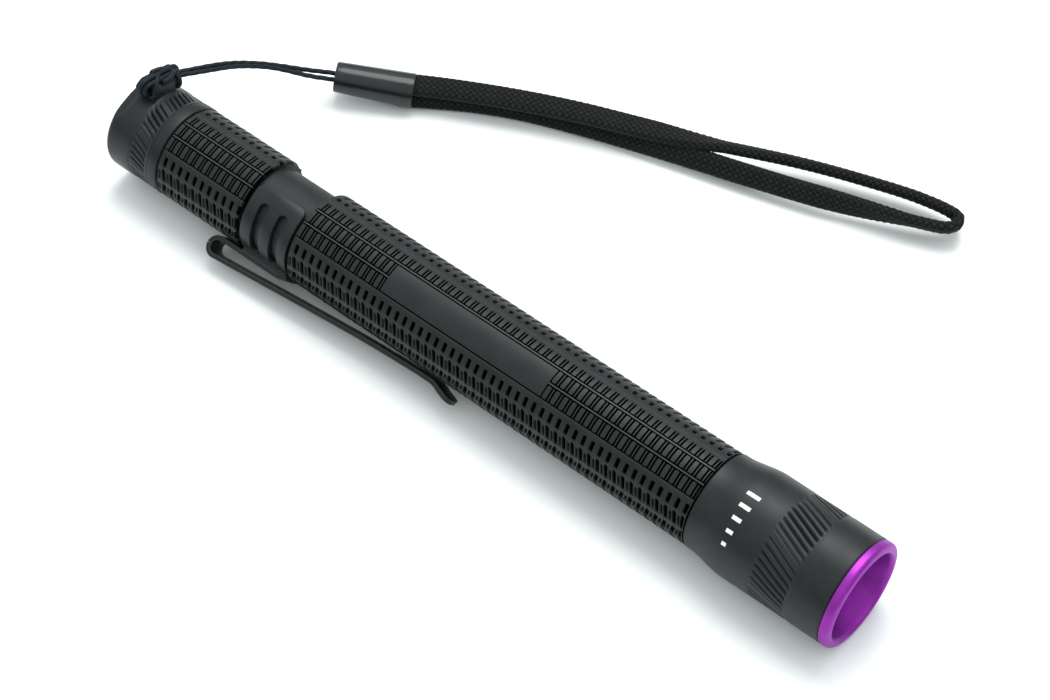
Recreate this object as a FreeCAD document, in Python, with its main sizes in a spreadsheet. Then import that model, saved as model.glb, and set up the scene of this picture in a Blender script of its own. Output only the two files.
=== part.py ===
"""An ultraviolet penlight for checking banknotes, with its pocket clip and wrist lanyard.

The pen lies on its side: +X runs along it from the tail cap to the head, +Z is up. Turned pieces are
drawn in the pen's own frame, where a station is the distance from the tail cap's rim and a radius is
taken from the pen's axis. Angles about the axis run from +Y towards +Z. Everything is in millimetres.
"""
import FreeCAD, Part
import math
import os
import Sketcher
from FreeCAD import Placement, Rotation, Vector

SIZES = {
    # the pen as a whole
    "pen_length": 145.5,
    "axis_height": 8.95,
    "axis_side": 0.94,
    # barrel
    "barrel_radius": 8.0,
    "bore_radius": 5.5,
    "spigot_radius": 6.6,
    "tail_spigot_start": 8.2,
    "barrel_start": 11.5,
    "clip_groove_start": 29.3,
    "clip_groove_end": 39.9,
    "clip_groove_radius": 6.9,
    "barrel_end": 118.8,
    "head_spigot_end": 124.4,
    # seals between the barrel and its two caps
    "skirt_bore": 6.8,
    "seal_groove_radius": 7.5,
    "seal_section": 0.4,
    "seal_ring_radius": 7.02,
    "tail_seal_station": 10.3,
    "head_seal_station": 123.0,
    "seal_half_room": 0.5,
    # tail cap
    "tail_radius": 8.1,
    "tail_rim_radius": 7.2,
    "tail_rim_round": 0.9,
    "tail_cap_end": 11.4,
    "button_well_radius": 5.0,
    "button_lip_start": 2.6,
    "button_lip_end": 4.0,
    "button_lip_radius": 4.3,
    # lanyard lug on the tail cap
    "lug_angle": 75.0,
    "lug_start": 1.4,
    "lug_length": 3.6,
    "lug_width": 5.2,
    "lug_root": 7.2,
    "lug_height": 3.0,
    "lug_hole_radius": 0.85,
    "lug_hole_station": 3.2,
    "lug_hole_height": 8.7,
    "scallop_angle": 109.0,
    "scallop_radius": 3.4,
    "scallop_height": 10.6,
    # switch
    "button_top": 1.3,
    "button_top_radius": 2.6,
    "button_shoulder": 2.3,
    "button_radius": 4.1,
    "button_flange_start": 4.1,
    "button_flange_radius": 4.8,
    "button_end": 4.9,
    "plunger_radius": 1.5,
    "plunger_collar_start": 7.4,
    "plunger_collar_end": 8.0,
    "plunger_collar_radius": 3.2,
    "plunger_end": 9.3,
    "housing_start": 6.2,
    "housing_flange_radius": 6.6,
    "housing_step": 7.0,
    "housing_radius": 5.2,
    "housing_mouth_radius": 1.7,
    "housing_room_radius": 3.6,
    "housing_room_end": 11.0,
    "housing_end": 11.6,
    "switch_ring_start": 7.0,
    "switch_ring_end": 7.9,
    "switch_ring_bore": 5.4,
    "switch_ring_radius": 6.7,
    "switch_board_end": 12.4,
    # springs: ring radius, wire radius, pitch
    "switch_spring_start": 8.2,
    "switch_spring_length": 2.6,
    "switch_spring_radius": 2.4,
    "switch_wire_radius": 0.15,
    "tail_spring_start": 12.8,
    "tail_spring_length": 3.8,
    "tail_spring_radius": 3.0,
    "front_spring_start": 106.5,
    "front_spring_length": 2.9,
    "front_spring_radius": 2.2,
    "contact_wire_radius": 0.35,
    # AAA cells
    "cell_radius": 5.25,
    "cell_nub_radius": 1.9,
    "rear_cell_start": 17.0,
    "rear_cell_shoulder": 60.7,
    "rear_cell_end": 61.5,
    "front_cell_shoulder": 105.2,
    "front_cell_end": 106.0,
    # head
    "head_start": 118.9,
    "head_neck_radius": 8.1,
    "head_flare_start": 120.4,
    "head_flare_middle": 122.6,
    "head_flare_middle_radius": 8.5,
    "head_flare_end": 125.6,
    "head_radius": 8.95,
    "head_end": 143.8,
    "head_room_start": 129.0,
    "head_room_radius": 7.8,
    # bezel, with its deep cone
    "bezel_round_start": 144.7,
    "bezel_face_radius": 8.3,
    "bezel_mouth_radius": 7.5,
    "cone_start": 132.2,
    "cone_throat_radius": 3.9,
    "cone_mouth_station": 144.9,
    "cone_mouth_radius": 7.1,
    "bezel_thread_radius": 7.75,
    "bezel_thread_start": 138.0,
    "lens_seat_radius": 4.45,
    "lens_seat_start": 130.6,
    "lens_holder_radius": 5.2,
    "gasket_end": 131.2,
    "gasket_bore": 3.5,
    # lamp module
    "pill_start": 109.4,
    "pill_radius": 5.3,
    "pill_flange_start": 124.7,
    "pill_end": 127.6,
    "pill_room_radius": 4.6,
    "pill_room_end": 116.0,
    "wire_hole_radius": 1.4,
    "driver_start": 109.8,
    "driver_end": 110.8,
    "driver_radius": 4.5,
    "led_board_radius": 5.6,
    "led_board_end": 128.6,
    "led_width": 3.5,
    "led_thickness": 0.8,
    "led_dome_radius": 1.4,
    "lead_wire_radius": 0.3,
    "lead_wire_offset": 0.55,
    # pocket clip
    "clip_angle": 217.3,
    "clip_width": 4.2,
    "clip_thickness": 0.8,
    "clamp_start": 29.7,
    "clamp_end": 39.4,
    "clamp_bore": 7.0,
    "clamp_radius": 7.8,
    "clamp_half_wrap": 116.0,
    "clamp_slot_width": 1.7,
    "clamp_first_slot": 31.9,
    "clamp_second_slot": 35.8,
    "clamp_slot_near_end": 20.0,
    "clamp_slot_far_end": 96.0,
    "clip_leg_height": 8.55,
    "clip_loop_station": 24.0,
    "clip_loop_top": 11.6,
    "clip_seam_below": 9.93,
    "clip_seam_above": 10.23,
    # lanyard
    "thread_radius": 0.4,
    "knot_width": 1.4,
    "knot_half_length": 2.9,
    "knot_height": 9.675,
    "knot_outer_radius": 1.375,
    "knot_inner_radius": 0.575,
    "strap_radius": 1.15,
    "sleeve_thin_radius": 2.6,
    "sleeve_thick_radius": 3.0,
    "sleeve_wall": 0.5,
}

# The clip arm's centre line after its loop, as station, height above the pen's axis and bend radius.
CLIP_ARM_BENDS = [(57.0, 9.12, 60.0), (69.6, 8.7, 3.0), (71.6, 9.2, 8.0), (74.3, 10.0, 0)]
SWITCH_SPRING_TURNS = 4
TAIL_SPRING_TURNS = 3
FRONT_SPRING_TURNS = 2.5
CLIP_LOOP_RADIUS = 1.2

# The sleeve's two end centres, and the lanyard's routes, in the part's own frame.
SLEEVE_THIN_END = Vector(-57.4, 31.5, 4.6)
SLEEVE_THICK_END = Vector(-46.0, 38.5, 3.05)
UPPER_THREAD = [
    (-69.6, 6.9, 17.3),
    (-67.3, 12.3, 16.1),
    (-66.6, 16.9, 13.6),
    (-65.3, 21.0, 11.1),
    (-63.6, 24.4, 8.9),
    (-60.6, 28.3, 6.6),
    (-57.9, 31.8, 4.9),
    (-54.8, 33.9, 4.3),
]
LOWER_THREAD = [
    (-68.7, 6.9, 17.3),
    (-66.5, 12.0, 15.9),
    (-65.7, 16.5, 13.4),
    (-64.4, 20.5, 10.9),
    (-62.7, 23.7, 8.9),
    (-59.7, 27.4, 6.5),
    (-57.0, 30.7, 4.8),
    (-53.9, 32.8, 4.1),
]
STRAP = [
    (-48.4, 37.2, 4.4),
    (-40.0, 42.6, 4.3),
    (-28.4, 48.7, 3.8),
    (-16.7, 54.6, 3.1),
    (-4.5, 59.9, 2.6),
    (9.2, 66.0, 2.3),
    (21.2, 71.0, 2.0),
    (29.8, 73.7, 1.9),
    (35.0, 74.7, 1.8),
    (38.6, 75.4, 1.8),
    (40.6, 74.4, 1.8),
    (41.2, 72.4, 1.8),
    (40.2, 70.5, 1.7),
    (36.7, 69.3, 1.6),
    (30.8, 67.5, 1.4),
    (19.2, 63.2, 1.6),
    (9.9, 59.8, 1.9),
    (-0.1, 57.5, 2.1),
    (-11.4, 53.3, 2.0),
    (-21.0, 50.0, 1.8),
    (-30.7, 46.5, 1.7),
    (-39.5, 42.0, 1.7),
    (-48.1, 36.8, 1.9),
]
RUN_SHARE = 0.45

doc = FreeCAD.newDocument("penlight")
sheet = doc.addObject("Spreadsheet::Sheet", "Sizes")
for row, (alias, value) in enumerate(SIZES.items(), start=1):
    sheet.set(f"A{row}", alias)
    sheet.set(f"B{row}", str(value))
    sheet.setAlias(f"B{row}", alias)
doc.recompute()


def terms(formula):
    """A formula such as "cone_start - sleeve_wall" as a list of signs and names."""
    sign, found = 1, []
    for word in formula.split():
        if word in "+-":
            sign = 1 if word == "+" else -1
        else:
            found.append((sign, word))
    return found


def size(formula):
    """The formula's value, read from the sheet."""
    return sum(sign * float(sheet.get(name)) for sign, name in terms(formula))


def bound(formula):
    """The formula as an expression on the sheet's cells."""
    return " ".join(("+ " if sign > 0 else "- ") + f"Sizes.{name}" for sign, name in terms(formula))


def pen_frame():
    """From the pen's own frame to the part's: the pen's middle is over the origin."""
    return Placement(Vector(-size("pen_length") / 2, size("axis_side"), size("axis_height")), Rotation())


def turned_about_axis(angle):
    """A turn about the pen's axis that takes straight up to the given angle."""
    return Placement(Vector(), Rotation(Vector(1, 0, 0), angle - 90))


def along_pen():
    """A turn that lays a piece drawn along +Z along the pen."""
    return Placement(Vector(), Rotation(Vector(0, 1, 0), 90))


def moved(x, y, z):
    return Placement(Vector(x, y, z), Rotation())


def origin_plane(body, role):
    return next(feature for feature in body.Origin.OriginFeatures if feature.Role == role)


def flat_sketch(body, name, role):
    """A sketch on one of the body's own origin planes."""
    sketch = body.newObject("Sketcher::SketchObject", name)
    sketch.AttachmentSupport = [(origin_plane(body, role), "")]
    sketch.MapMode = "FlatFace"
    return sketch


def pin_corner(sketch, line, kind, axis, formula):
    """Hold one coordinate of a line's first point, on an axis or at a size from the sheet."""
    if formula == "0":
        sketch.addConstraint(Sketcher.Constraint("PointOnObject", line, 1, axis))
    else:
        number = sketch.addConstraint(Sketcher.Constraint(kind, -1, 1, line, 1, size(formula)))
        sketch.setExpression(f"Constraints[{number}]", bound(formula))


def turned(label, corners, place=None):
    """A turned piece: a closed half outline of stations and radii, swept round the pen's axis."""
    body = doc.addObject("PartDesign::Body", label)
    sketch = flat_sketch(body, f"{label}_outline", "XY_Plane")
    points = [Vector(*(0 if f == "0" else size(f) for f in corner), 0) for corner in corners]
    for start, end in zip(points, points[1:] + points[:1]):
        sketch.addGeometry(Part.LineSegment(start, end), False)
    for line in range(len(points)):
        following = (line + 1) % len(points)
        sketch.addConstraint(Sketcher.Constraint("Coincident", line, 2, following, 1))
    for line, (station, radius) in enumerate(corners):
        pin_corner(sketch, line, "DistanceX", -2, station)
        pin_corner(sketch, line, "DistanceY", -1, radius)
    revolution = body.newObject("PartDesign::Revolution", f"{label}_turned")
    revolution.Profile = sketch
    revolution.ReferenceAxis = (sketch, ["H_Axis"])
    revolution.Angle = 360
    body.Placement = place or pen_frame()
    return body


def disc(label, start, end, radius, bore="0"):
    """A round plate, or a ring if it has a bore."""
    return turned(label, [(start, bore), (start, radius), (end, radius), (end, bore)])


def cylinder(label, radius, height, place, angle=None):
    """A Part cylinder bound to the sheet, drawn along its own +Z."""
    piece = doc.addObject("Part::Cylinder", label)
    piece.setExpression("Radius", bound(radius))
    piece.setExpression("Height", bound(height))
    if angle is not None:
        piece.setExpression("Angle", bound(angle))
    piece.Placement = place
    return piece


def box(label, length, width, height, place):
    """A Part box bound to the sheet."""
    piece = doc.addObject("Part::Box", label)
    piece.setExpression("Length", bound(length))
    piece.setExpression("Width", bound(width))
    piece.setExpression("Height", bound(height))
    piece.Placement = place
    return piece


def joined(label, base, tool):
    piece = doc.addObject("Part::Fuse", label)
    piece.Base, piece.Tool = base, tool
    return piece


def cut(label, base, tool):
    piece = doc.addObject("Part::Cut", label)
    piece.Base, piece.Tool = base, tool
    return piece


def coil(label, start, length, radius, wire, turns):
    """A compression spring round the pen's axis."""
    place = pen_frame() * moved(size(start), 0, 0) * along_pen()
    helix = doc.addObject("Part::Helix", f"{label}_line")
    helix.setExpression("Radius", bound(radius))
    helix.setExpression("Height", bound(length))
    helix.setExpression("Pitch", f"({bound(length)}) / {turns}")
    helix.Placement = place
    ring = doc.addObject("Part::Circle", f"{label}_section")
    ring.setExpression("Radius", bound(wire))
    ring.Placement = place * Placement(Vector(size(radius), 0, 0), Rotation(Vector(1, 0, 0), 90))
    doc.recompute()
    sweep = doc.addObject("Part::Sweep", label)
    sweep.Sections = [ring]
    sweep.Spine = (helix, ["Edge1"])
    sweep.Solid = True
    sweep.Frenet = True
    return sweep


def rounded_route(points, given_radii=None):
    """Straight runs joined by tangent arcs, as large as the runs allow unless their radii are given.
    Returns the edges and the arcs' radii."""
    edges, radii, start = [], [], points[0]
    for number, (before, corner, after) in enumerate(zip(points, points[1:], points[2:])):
        inward, outward = before - corner, after - corner
        half_turn = (math.pi - inward.getAngle(outward)) / 2
        if given_radii is None:
            bend = RUN_SHARE * min(inward.Length, outward.Length) / math.tan(half_turn)
        else:
            bend = given_radii[number]
        reach = bend * math.tan(half_turn)
        first = corner + inward * (reach / inward.Length)
        last = corner + outward * (reach / outward.Length)
        towards_centre = inward.normalize() + outward.normalize()
        towards_centre.normalize()
        middle = corner + towards_centre * (bend / math.cos(half_turn) - bend)
        edges.append(Part.LineSegment(start, first).toShape())
        edges.append(Part.Arc(first, middle, last).toShape())
        radii.append(bend)
        start = last
    edges.append(Part.LineSegment(start, points[-1]).toShape())
    return edges, radii


def swept(label, edges, section, place):
    """A solid of one section all along a route."""
    shell = Part.BRepOffsetAPI.MakePipeShell(Part.Wire(edges))
    shell.setTransitionMode(1)
    shell.add(section)
    shell.build()
    shell.makeSolid()
    piece = doc.addObject("Part::Feature", label)
    piece.Shape = shell.shape()
    piece.Placement = place
    return piece


def cord(label, route, radius):
    """A cord's tube. It prints its bends and compares its volume with its section times its length."""
    points = [Vector(*point) for point in route]
    edges, radii = rounded_route(points)
    heading = points[1] - points[0]
    section = Part.Wire([Part.Circle(points[0], heading, size(radius)).toShape()])
    piece = swept(label, edges, section, Placement())
    length = sum(edge.Length for edge in edges)
    expected = math.pi * size(radius) ** 2 * length
    print(label, "length", round(length, 1), "bends", [round(r, 1) for r in radii])
    print(label, "volume over section times length", round(piece.Shape.Volume / expected, 4))
    return piece


def build_barrel():
    """The tube: tail spigot, grips, groove for the clip, head spigot, and one bore right through."""
    turned("barrel", [
        ("tail_spigot_start", "bore_radius"),
        ("tail_spigot_start", "spigot_radius"),
        ("barrel_start", "spigot_radius"),
        ("barrel_start", "barrel_radius"),
        ("clip_groove_start", "barrel_radius"),
        ("clip_groove_start", "clip_groove_radius"),
        ("clip_groove_end", "clip_groove_radius"),
        ("clip_groove_end", "barrel_radius"),
        ("barrel_end", "barrel_radius"),
        ("barrel_end", "spigot_radius"),
        ("head_spigot_end", "spigot_radius"),
        ("head_spigot_end", "bore_radius"),
    ])


def build_cell(label, start, shoulder, end):
    """A battery: its can, and the nub of its positive end."""
    turned(label, [
        (start, "0"),
        (start, "cell_radius"),
        (shoulder, "cell_radius"),
        (shoulder, "cell_nub_radius"),
        (end, "cell_nub_radius"),
        (end, "0"),
    ])


def build_seal(label, station):
    """An O-ring that sits in a cap's skirt and rubs on the barrel's spigot."""
    piece = doc.addObject("Part::Torus", label)
    piece.setExpression("Radius1", bound("seal_ring_radius"))
    piece.setExpression("Radius2", bound("seal_section"))
    piece.Placement = pen_frame() * moved(size(station), 0, 0) * along_pen()


def build_tail_cap():
    """The cap: rounded rim, well for the button, skirt with its seal groove, lanyard lug and scallop."""
    shell = turned("tail_shell", [
        ("0", "button_well_radius"),
        ("0", "tail_rim_radius"),
        ("tail_rim_round", "tail_radius"),
        ("tail_cap_end", "tail_radius"),
        ("tail_cap_end", "skirt_bore"),
        ("tail_seal_station + seal_half_room", "skirt_bore"),
        ("tail_seal_station + seal_half_room", "seal_groove_radius"),
        ("tail_seal_station - seal_half_room", "seal_groove_radius"),
        ("tail_seal_station - seal_half_room", "skirt_bore"),
        ("button_lip_end", "skirt_bore"),
        ("button_lip_end", "button_lip_radius"),
        ("button_lip_start", "button_lip_radius"),
        ("button_lip_start", "button_well_radius"),
    ])
    lug_frame = pen_frame() * turned_about_axis(size("lug_angle"))
    lug_corner = moved(size("lug_start"), -size("lug_width") / 2, size("lug_root"))
    lug = box("lug", "lug_length", "lug_width", "lug_height", lug_frame * lug_corner)
    across = Placement(Vector(), Rotation(Vector(1, 0, 0), 90))
    hole_start = moved(size("lug_hole_station"), size("lug_width"), size("lug_hole_height"))
    hole_height = "lug_width + lug_width"
    hole = cylinder("lug_hole", "lug_hole_radius", hole_height, lug_frame * hole_start * across)
    scallop_frame = pen_frame() * turned_about_axis(size("scallop_angle"))
    scallop_start = moved(0, size("lug_width"), size("scallop_height"))
    scallop = cylinder("scallop", "scallop_radius", hole_height, scallop_frame * scallop_start * across)
    cap_with_lug = joined("cap_with_lug", cut("scalloped_shell", shell, scallop), lug)
    cut("tail_cap", cap_with_lug, hole)


def build_switch():
    """The push button, its plunger, and the switch body held in by a ring."""
    turned("switch_button", [
        ("button_top", "0"),
        ("button_top", "button_top_radius"),
        ("button_shoulder", "button_radius"),
        ("button_flange_start", "button_radius"),
        ("button_flange_start", "button_flange_radius"),
        ("button_end", "button_flange_radius"),
        ("button_end", "0"),
    ])
    turned("switch_plunger", [
        ("button_end", "0"),
        ("button_end", "plunger_radius"),
        ("plunger_collar_start", "plunger_radius"),
        ("plunger_collar_start", "plunger_collar_radius"),
        ("plunger_collar_end", "plunger_collar_radius"),
        ("plunger_collar_end", "plunger_radius"),
        ("plunger_end", "plunger_radius"),
        ("plunger_end", "0"),
    ])
    turned("switch_housing", [
        ("housing_start", "housing_mouth_radius"),
        ("housing_start", "housing_flange_radius"),
        ("housing_step", "housing_flange_radius"),
        ("housing_step", "housing_radius"),
        ("housing_end", "housing_radius"),
        ("housing_end", "0"),
        ("housing_room_end", "0"),
        ("housing_room_end", "housing_room_radius"),
        ("housing_step", "housing_room_radius"),
        ("housing_step", "housing_mouth_radius"),
    ])
    disc("switch_ring", "switch_ring_start", "switch_ring_end", "switch_ring_radius", "switch_ring_bore")
    disc("switch_board", "housing_end", "switch_board_end", "housing_radius")
    coil("switch_spring", "switch_spring_start", "switch_spring_length", "switch_spring_radius",
         "switch_wire_radius", SWITCH_SPRING_TURNS)
    coil("tail_spring", "tail_spring_start", "tail_spring_length", "tail_spring_radius",
         "contact_wire_radius", TAIL_SPRING_TURNS)


def build_head():
    """The head shell: flared neck, seal groove, and the room in front that takes the bezel."""
    turned("head_shell", [
        ("head_start", "skirt_bore"),
        ("head_start", "head_neck_radius"),
        ("head_flare_start", "head_neck_radius"),
        ("head_flare_middle", "head_flare_middle_radius"),
        ("head_flare_end", "head_radius"),
        ("head_end", "head_radius"),
        ("head_end", "head_room_radius"),
        ("head_room_start", "head_room_radius"),
        ("head_room_start", "skirt_bore"),
        ("head_seal_station + seal_half_room", "skirt_bore"),
        ("head_seal_station + seal_half_room", "seal_groove_radius"),
        ("head_seal_station - seal_half_room", "seal_groove_radius"),
        ("head_seal_station - seal_half_room", "skirt_bore"),
    ])


def build_bezel():
    """The bezel: a rounded lip in front of the head, and a long cone down to the lens."""
    turned("bezel_ring", [
        ("pen_length", "bezel_mouth_radius"),
        ("pen_length", "bezel_face_radius"),
        ("bezel_round_start", "head_radius"),
        ("head_end", "head_radius"),
        ("head_end", "bezel_thread_radius"),
        ("bezel_thread_start", "bezel_thread_radius"),
        ("cone_start", "lens_holder_radius"),
        ("lens_seat_start", "lens_holder_radius"),
        ("lens_seat_start", "lens_seat_radius"),
        ("cone_start", "lens_seat_radius"),
        ("cone_start", "cone_throat_radius"),
        ("cone_mouth_station", "cone_mouth_radius"),
    ])
    disc("filter_lens", "gasket_end", "cone_start", "lens_seat_radius")
    disc("lens_gasket", "lens_seat_start", "gasket_end", "lens_seat_radius", "gasket_bore")


def build_lamp():
    """The lamp module: heat-sink pill, driver board, contact spring, lead wires, board and diode."""
    turned("led_pill", [
        ("pill_start", "pill_room_radius"),
        ("pill_start", "pill_radius"),
        ("pill_flange_start", "pill_radius"),
        ("pill_flange_start", "skirt_bore"),
        ("pill_end", "skirt_bore"),
        ("pill_end", "wire_hole_radius"),
        ("pill_room_end", "wire_hole_radius"),
        ("pill_room_end", "pill_room_radius"),
    ])
    disc("driver_board", "driver_start", "driver_end", "driver_radius")
    coil("front_spring", "front_spring_start", "front_spring_length", "front_spring_radius",
         "contact_wire_radius", FRONT_SPRING_TURNS)
    disc("led_board", "pill_end", "led_board_end", "led_board_radius")
    half_width = size("led_width") / 2
    board_face = pen_frame() * moved(size("led_board_end"), 0, 0)
    package = box("led_package", "led_thickness", "led_width", "led_width",
                  board_face * moved(0, -half_width, -half_width))
    dome = doc.addObject("Part::Sphere", "led_dome")
    dome.setExpression("Radius", bound("led_dome_radius"))
    dome.setExpression("Angle1", "0 deg")
    dome.Placement = board_face * moved(size("led_thickness"), 0, 0) * along_pen()
    joined("uv_led", package, dome)
    for label, side in (("led_wire_positive", 1), ("led_wire_negative", -1)):
        start = moved(size("driver_end"), side * size("lead_wire_offset"), 0)
        cylinder(label, "lead_wire_radius", "pill_end - driver_end", pen_frame() * start * along_pen())


def clamp_sector(label, radius, start, width, from_angle, sweep):
    """A wedge of a cylinder round the pen's axis, from an angle measured from the clip's direction."""
    first_angle = size("clip_angle") + from_angle + 90
    spin = Placement(Vector(), Rotation(Vector(0, 0, 1), first_angle))
    place = pen_frame() * moved(size(start), 0, 0) * along_pen() * spin
    return cylinder(label, radius, width, place, sweep)


def clip_strip(label, centre_line, radii):
    """A length of the clip's flat strip, bent along a line of stations and heights."""
    points = [Vector(station, 0, height) for station, height in centre_line]
    edges, _ = rounded_route(points, radii)
    heading = (points[1] - points[0]).normalize()
    side = Vector(0, size("clip_width") / 2, 0)
    rise = heading.cross(Vector(0, 1, 0)) * (size("clip_thickness") / 2)
    corners = [points[0] + a * side + b * rise for a, b in ((-1, -1), (1, -1), (1, 1), (-1, 1), (-1, -1))]
    frame = pen_frame() * turned_about_axis(size("clip_angle"))
    return swept(label, edges, Part.makePolygon(corners), frame)


def build_clip():
    """The pocket clip: a slotted band sprung round the groove, a flat leg, a loop and the long arm."""
    half_wrap = size("clamp_half_wrap")
    clamp_width = "clamp_end - clamp_start"
    band = clamp_sector("clamp_outside", "clamp_radius", "clamp_start", clamp_width, -half_wrap,
                        "clamp_half_wrap + clamp_half_wrap")
    slot_sweep = "clamp_slot_far_end - clamp_slot_near_end"
    for number, station in enumerate(("clamp_first_slot", "clamp_second_slot")):
        for side, angle in (("near", size("clamp_slot_near_end")), ("far", -size("clamp_slot_far_end"))):
            slot = clamp_sector(f"slot_{number}_{side}", "clamp_radius + clip_thickness", station,
                                "clamp_slot_width", angle, slot_sweep)
            band = cut(f"band_{number}_{side}", band, slot)
    clip_frame = pen_frame() * turned_about_axis(size("clip_angle"))
    pad_corner = moved(size("clamp_start"), -size("clip_width") / 2, size("clamp_bore"))
    pad_height = "clip_leg_height - clamp_bore"
    pad = box("clamp_pad", clamp_width, "clip_width", pad_height, clip_frame * pad_corner)
    bore = cylinder("clamp_inside", "clamp_bore", "pen_length", pen_frame() * along_pen())
    padded = cut("padded_band", joined("band_and_pad", band, pad), bore)
    height, loop = size("clip_leg_height"), size("clip_loop_station")
    leg_line = [(size("clamp_end"), height), (loop, height), (loop, size("clip_seam_below"))]
    leg = clip_strip("clip_leg", leg_line, [CLIP_LOOP_RADIUS])
    joined("clip_clamp", padded, leg)
    arm_line = [(loop, size("clip_seam_above")), (loop, size("clip_loop_top"))]
    arm_line += [(station, height) for station, height, _ in CLIP_ARM_BENDS]
    arm_radii = [CLIP_LOOP_RADIUS] + [radius for _, _, radius in CLIP_ARM_BENDS[:-1]]
    clip_strip("clip_arm", arm_line, arm_radii)


def racetrack(sketch, radius):
    """A slot outline: two half circles and two straight sides, round the sketch's own origin."""
    reach, height = size("knot_half_length"), size("knot_height")
    first = sketch.GeometryCount
    r = size(radius)
    for centre, low, high in ((reach, -90, 90), (-reach, 90, 270)):
        circle = Part.Circle(Vector(centre, height, 0), Vector(0, 0, 1), r)
        sketch.addGeometry(Part.ArcOfCircle(circle, math.radians(low), math.radians(high)), False)
    sketch.addGeometry(Part.LineSegment(Vector(reach, height + r, 0), Vector(-reach, height + r, 0)), False)
    sketch.addGeometry(Part.LineSegment(Vector(-reach, height - r, 0), Vector(reach, height - r, 0)), False)
    right, left, top, bottom = range(first, first + 4)
    corners = ((right, 2, top, 1), (top, 2, left, 1), (left, 2, bottom, 1), (bottom, 2, right, 1))
    for a, a_end, b, b_end in corners:
        sketch.addConstraint(Sketcher.Constraint("Tangent", a, a_end, b, b_end))
    holds = (("DistanceX", right, reach, "knot_half_length"), ("DistanceY", right, height, "knot_height"))
    for kind, arc, value, formula in holds:
        number = sketch.addConstraint(Sketcher.Constraint(kind, -1, 1, arc, 3, value))
        sketch.setExpression(f"Constraints[{number}]", bound(formula))
    sketch.addConstraint(Sketcher.Constraint("Horizontal", top))
    sketch.addConstraint(Sketcher.Constraint("Symmetric", right, 3, left, 3, -2))
    number = sketch.addConstraint(Sketcher.Constraint("Radius", right, r))
    sketch.setExpression(f"Constraints[{number}]", bound(radius))


def build_lanyard():
    """The wrist lanyard: thin cord looped through the lug, its two strands, the sleeve and the strap."""
    knot = doc.addObject("PartDesign::Body", "lanyard_knot")
    outline = flat_sketch(knot, "knot_outline", "YZ_Plane")
    racetrack(outline, "knot_outer_radius")
    racetrack(outline, "knot_inner_radius")
    band = knot.newObject("PartDesign::Pad", "knot_band")
    band.Profile = outline
    band.setExpression("Length", bound("knot_width"))
    band.Midplane = True
    knot.Placement = pen_frame() * moved(size("lug_hole_station"), 0, 0) * turned_about_axis(size("lug_angle"))
    cord("lanyard_thread_upper", UPPER_THREAD, "thread_radius")
    cord("lanyard_thread_lower", LOWER_THREAD, "thread_radius")
    cord("lanyard_strap", STRAP, "strap_radius")
    heading = SLEEVE_THICK_END - SLEEVE_THIN_END
    sleeve = doc.addObject("Part::Cone", "sleeve_outside")
    hollow = doc.addObject("Part::Cone", "sleeve_inside")
    place = Placement(SLEEVE_THIN_END, Rotation(Vector(0, 0, 1), heading))
    for cone, wall in ((sleeve, ""), (hollow, " - sleeve_wall")):
        cone.setExpression("Radius1", bound("sleeve_thin_radius" + wall))
        cone.setExpression("Radius2", bound("sleeve_thick_radius" + wall))
        cone.Height = heading.Length
        cone.Placement = place
    cut("lanyard_sleeve", sleeve, hollow)


build_barrel()
build_cell("battery_rear", "rear_cell_start", "rear_cell_shoulder", "rear_cell_end")
build_cell("battery_front", "rear_cell_end", "front_cell_shoulder", "front_cell_end")
build_tail_cap()
build_seal("tail_o_ring", "tail_seal_station")
build_switch()
build_head()
build_seal("head_o_ring", "head_seal_station")
build_bezel()
build_lamp()
build_clip()
build_lanyard()
doc.recompute()

NODES = [
    "barrel", "battery_rear", "battery_front",
    "tail_cap", "tail_o_ring", "tail_spring",
    "switch_button", "switch_plunger", "switch_spring", "switch_housing", "switch_ring", "switch_board",
    "head_shell", "head_o_ring", "bezel_ring", "filter_lens", "lens_gasket",
    "led_pill", "driver_board", "front_spring", "led_board", "uv_led",
    "led_wire_positive", "led_wire_negative",
    "clip_clamp", "clip_arm",
    "lanyard_knot", "lanyard_thread_upper", "lanyard_thread_lower", "lanyard_sleeve", "lanyard_strap",
]

for item in doc.Objects:
    if "Invalid" in item.State or "Error" in item.State:
        raise RuntimeError(f"{item.Label} did not build: {item.State}")
os.makedirs("parts", exist_ok=True)
for node in NODES:
    piece = doc.getObjectsByLabel(node)[0]
    if piece.Shape.isNull() or not piece.Shape.isValid():
        raise RuntimeError(f"{node} has no valid shape")
    piece.Shape.exportStep(f"parts/{node}.step")
    print(node, "solids", len(piece.Shape.Solids), "volume", round(piece.Shape.Volume, 2))
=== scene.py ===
"""A black ultraviolet penlight with a purple bezel, a pocket clip and a braided wrist lanyard.

Turned pieces are drawn in the pen's own frame: a station is the distance in millimetres from the tail
cap's rim, a radius is taken from the pen's axis, and an angle about the axis runs from +Y towards +Z.
"""

import math

import bmesh
import bpy
import numpy as np
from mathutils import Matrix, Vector


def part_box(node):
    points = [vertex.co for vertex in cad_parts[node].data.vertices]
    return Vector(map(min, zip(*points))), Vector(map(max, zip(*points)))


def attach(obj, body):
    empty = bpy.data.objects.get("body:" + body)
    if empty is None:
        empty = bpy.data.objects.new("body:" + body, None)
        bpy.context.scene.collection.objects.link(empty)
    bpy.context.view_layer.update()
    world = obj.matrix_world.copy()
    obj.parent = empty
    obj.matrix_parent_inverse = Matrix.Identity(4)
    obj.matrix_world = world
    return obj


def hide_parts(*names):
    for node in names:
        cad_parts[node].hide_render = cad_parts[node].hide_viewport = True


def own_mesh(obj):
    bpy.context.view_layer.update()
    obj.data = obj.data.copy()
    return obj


MM = 0.001

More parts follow.
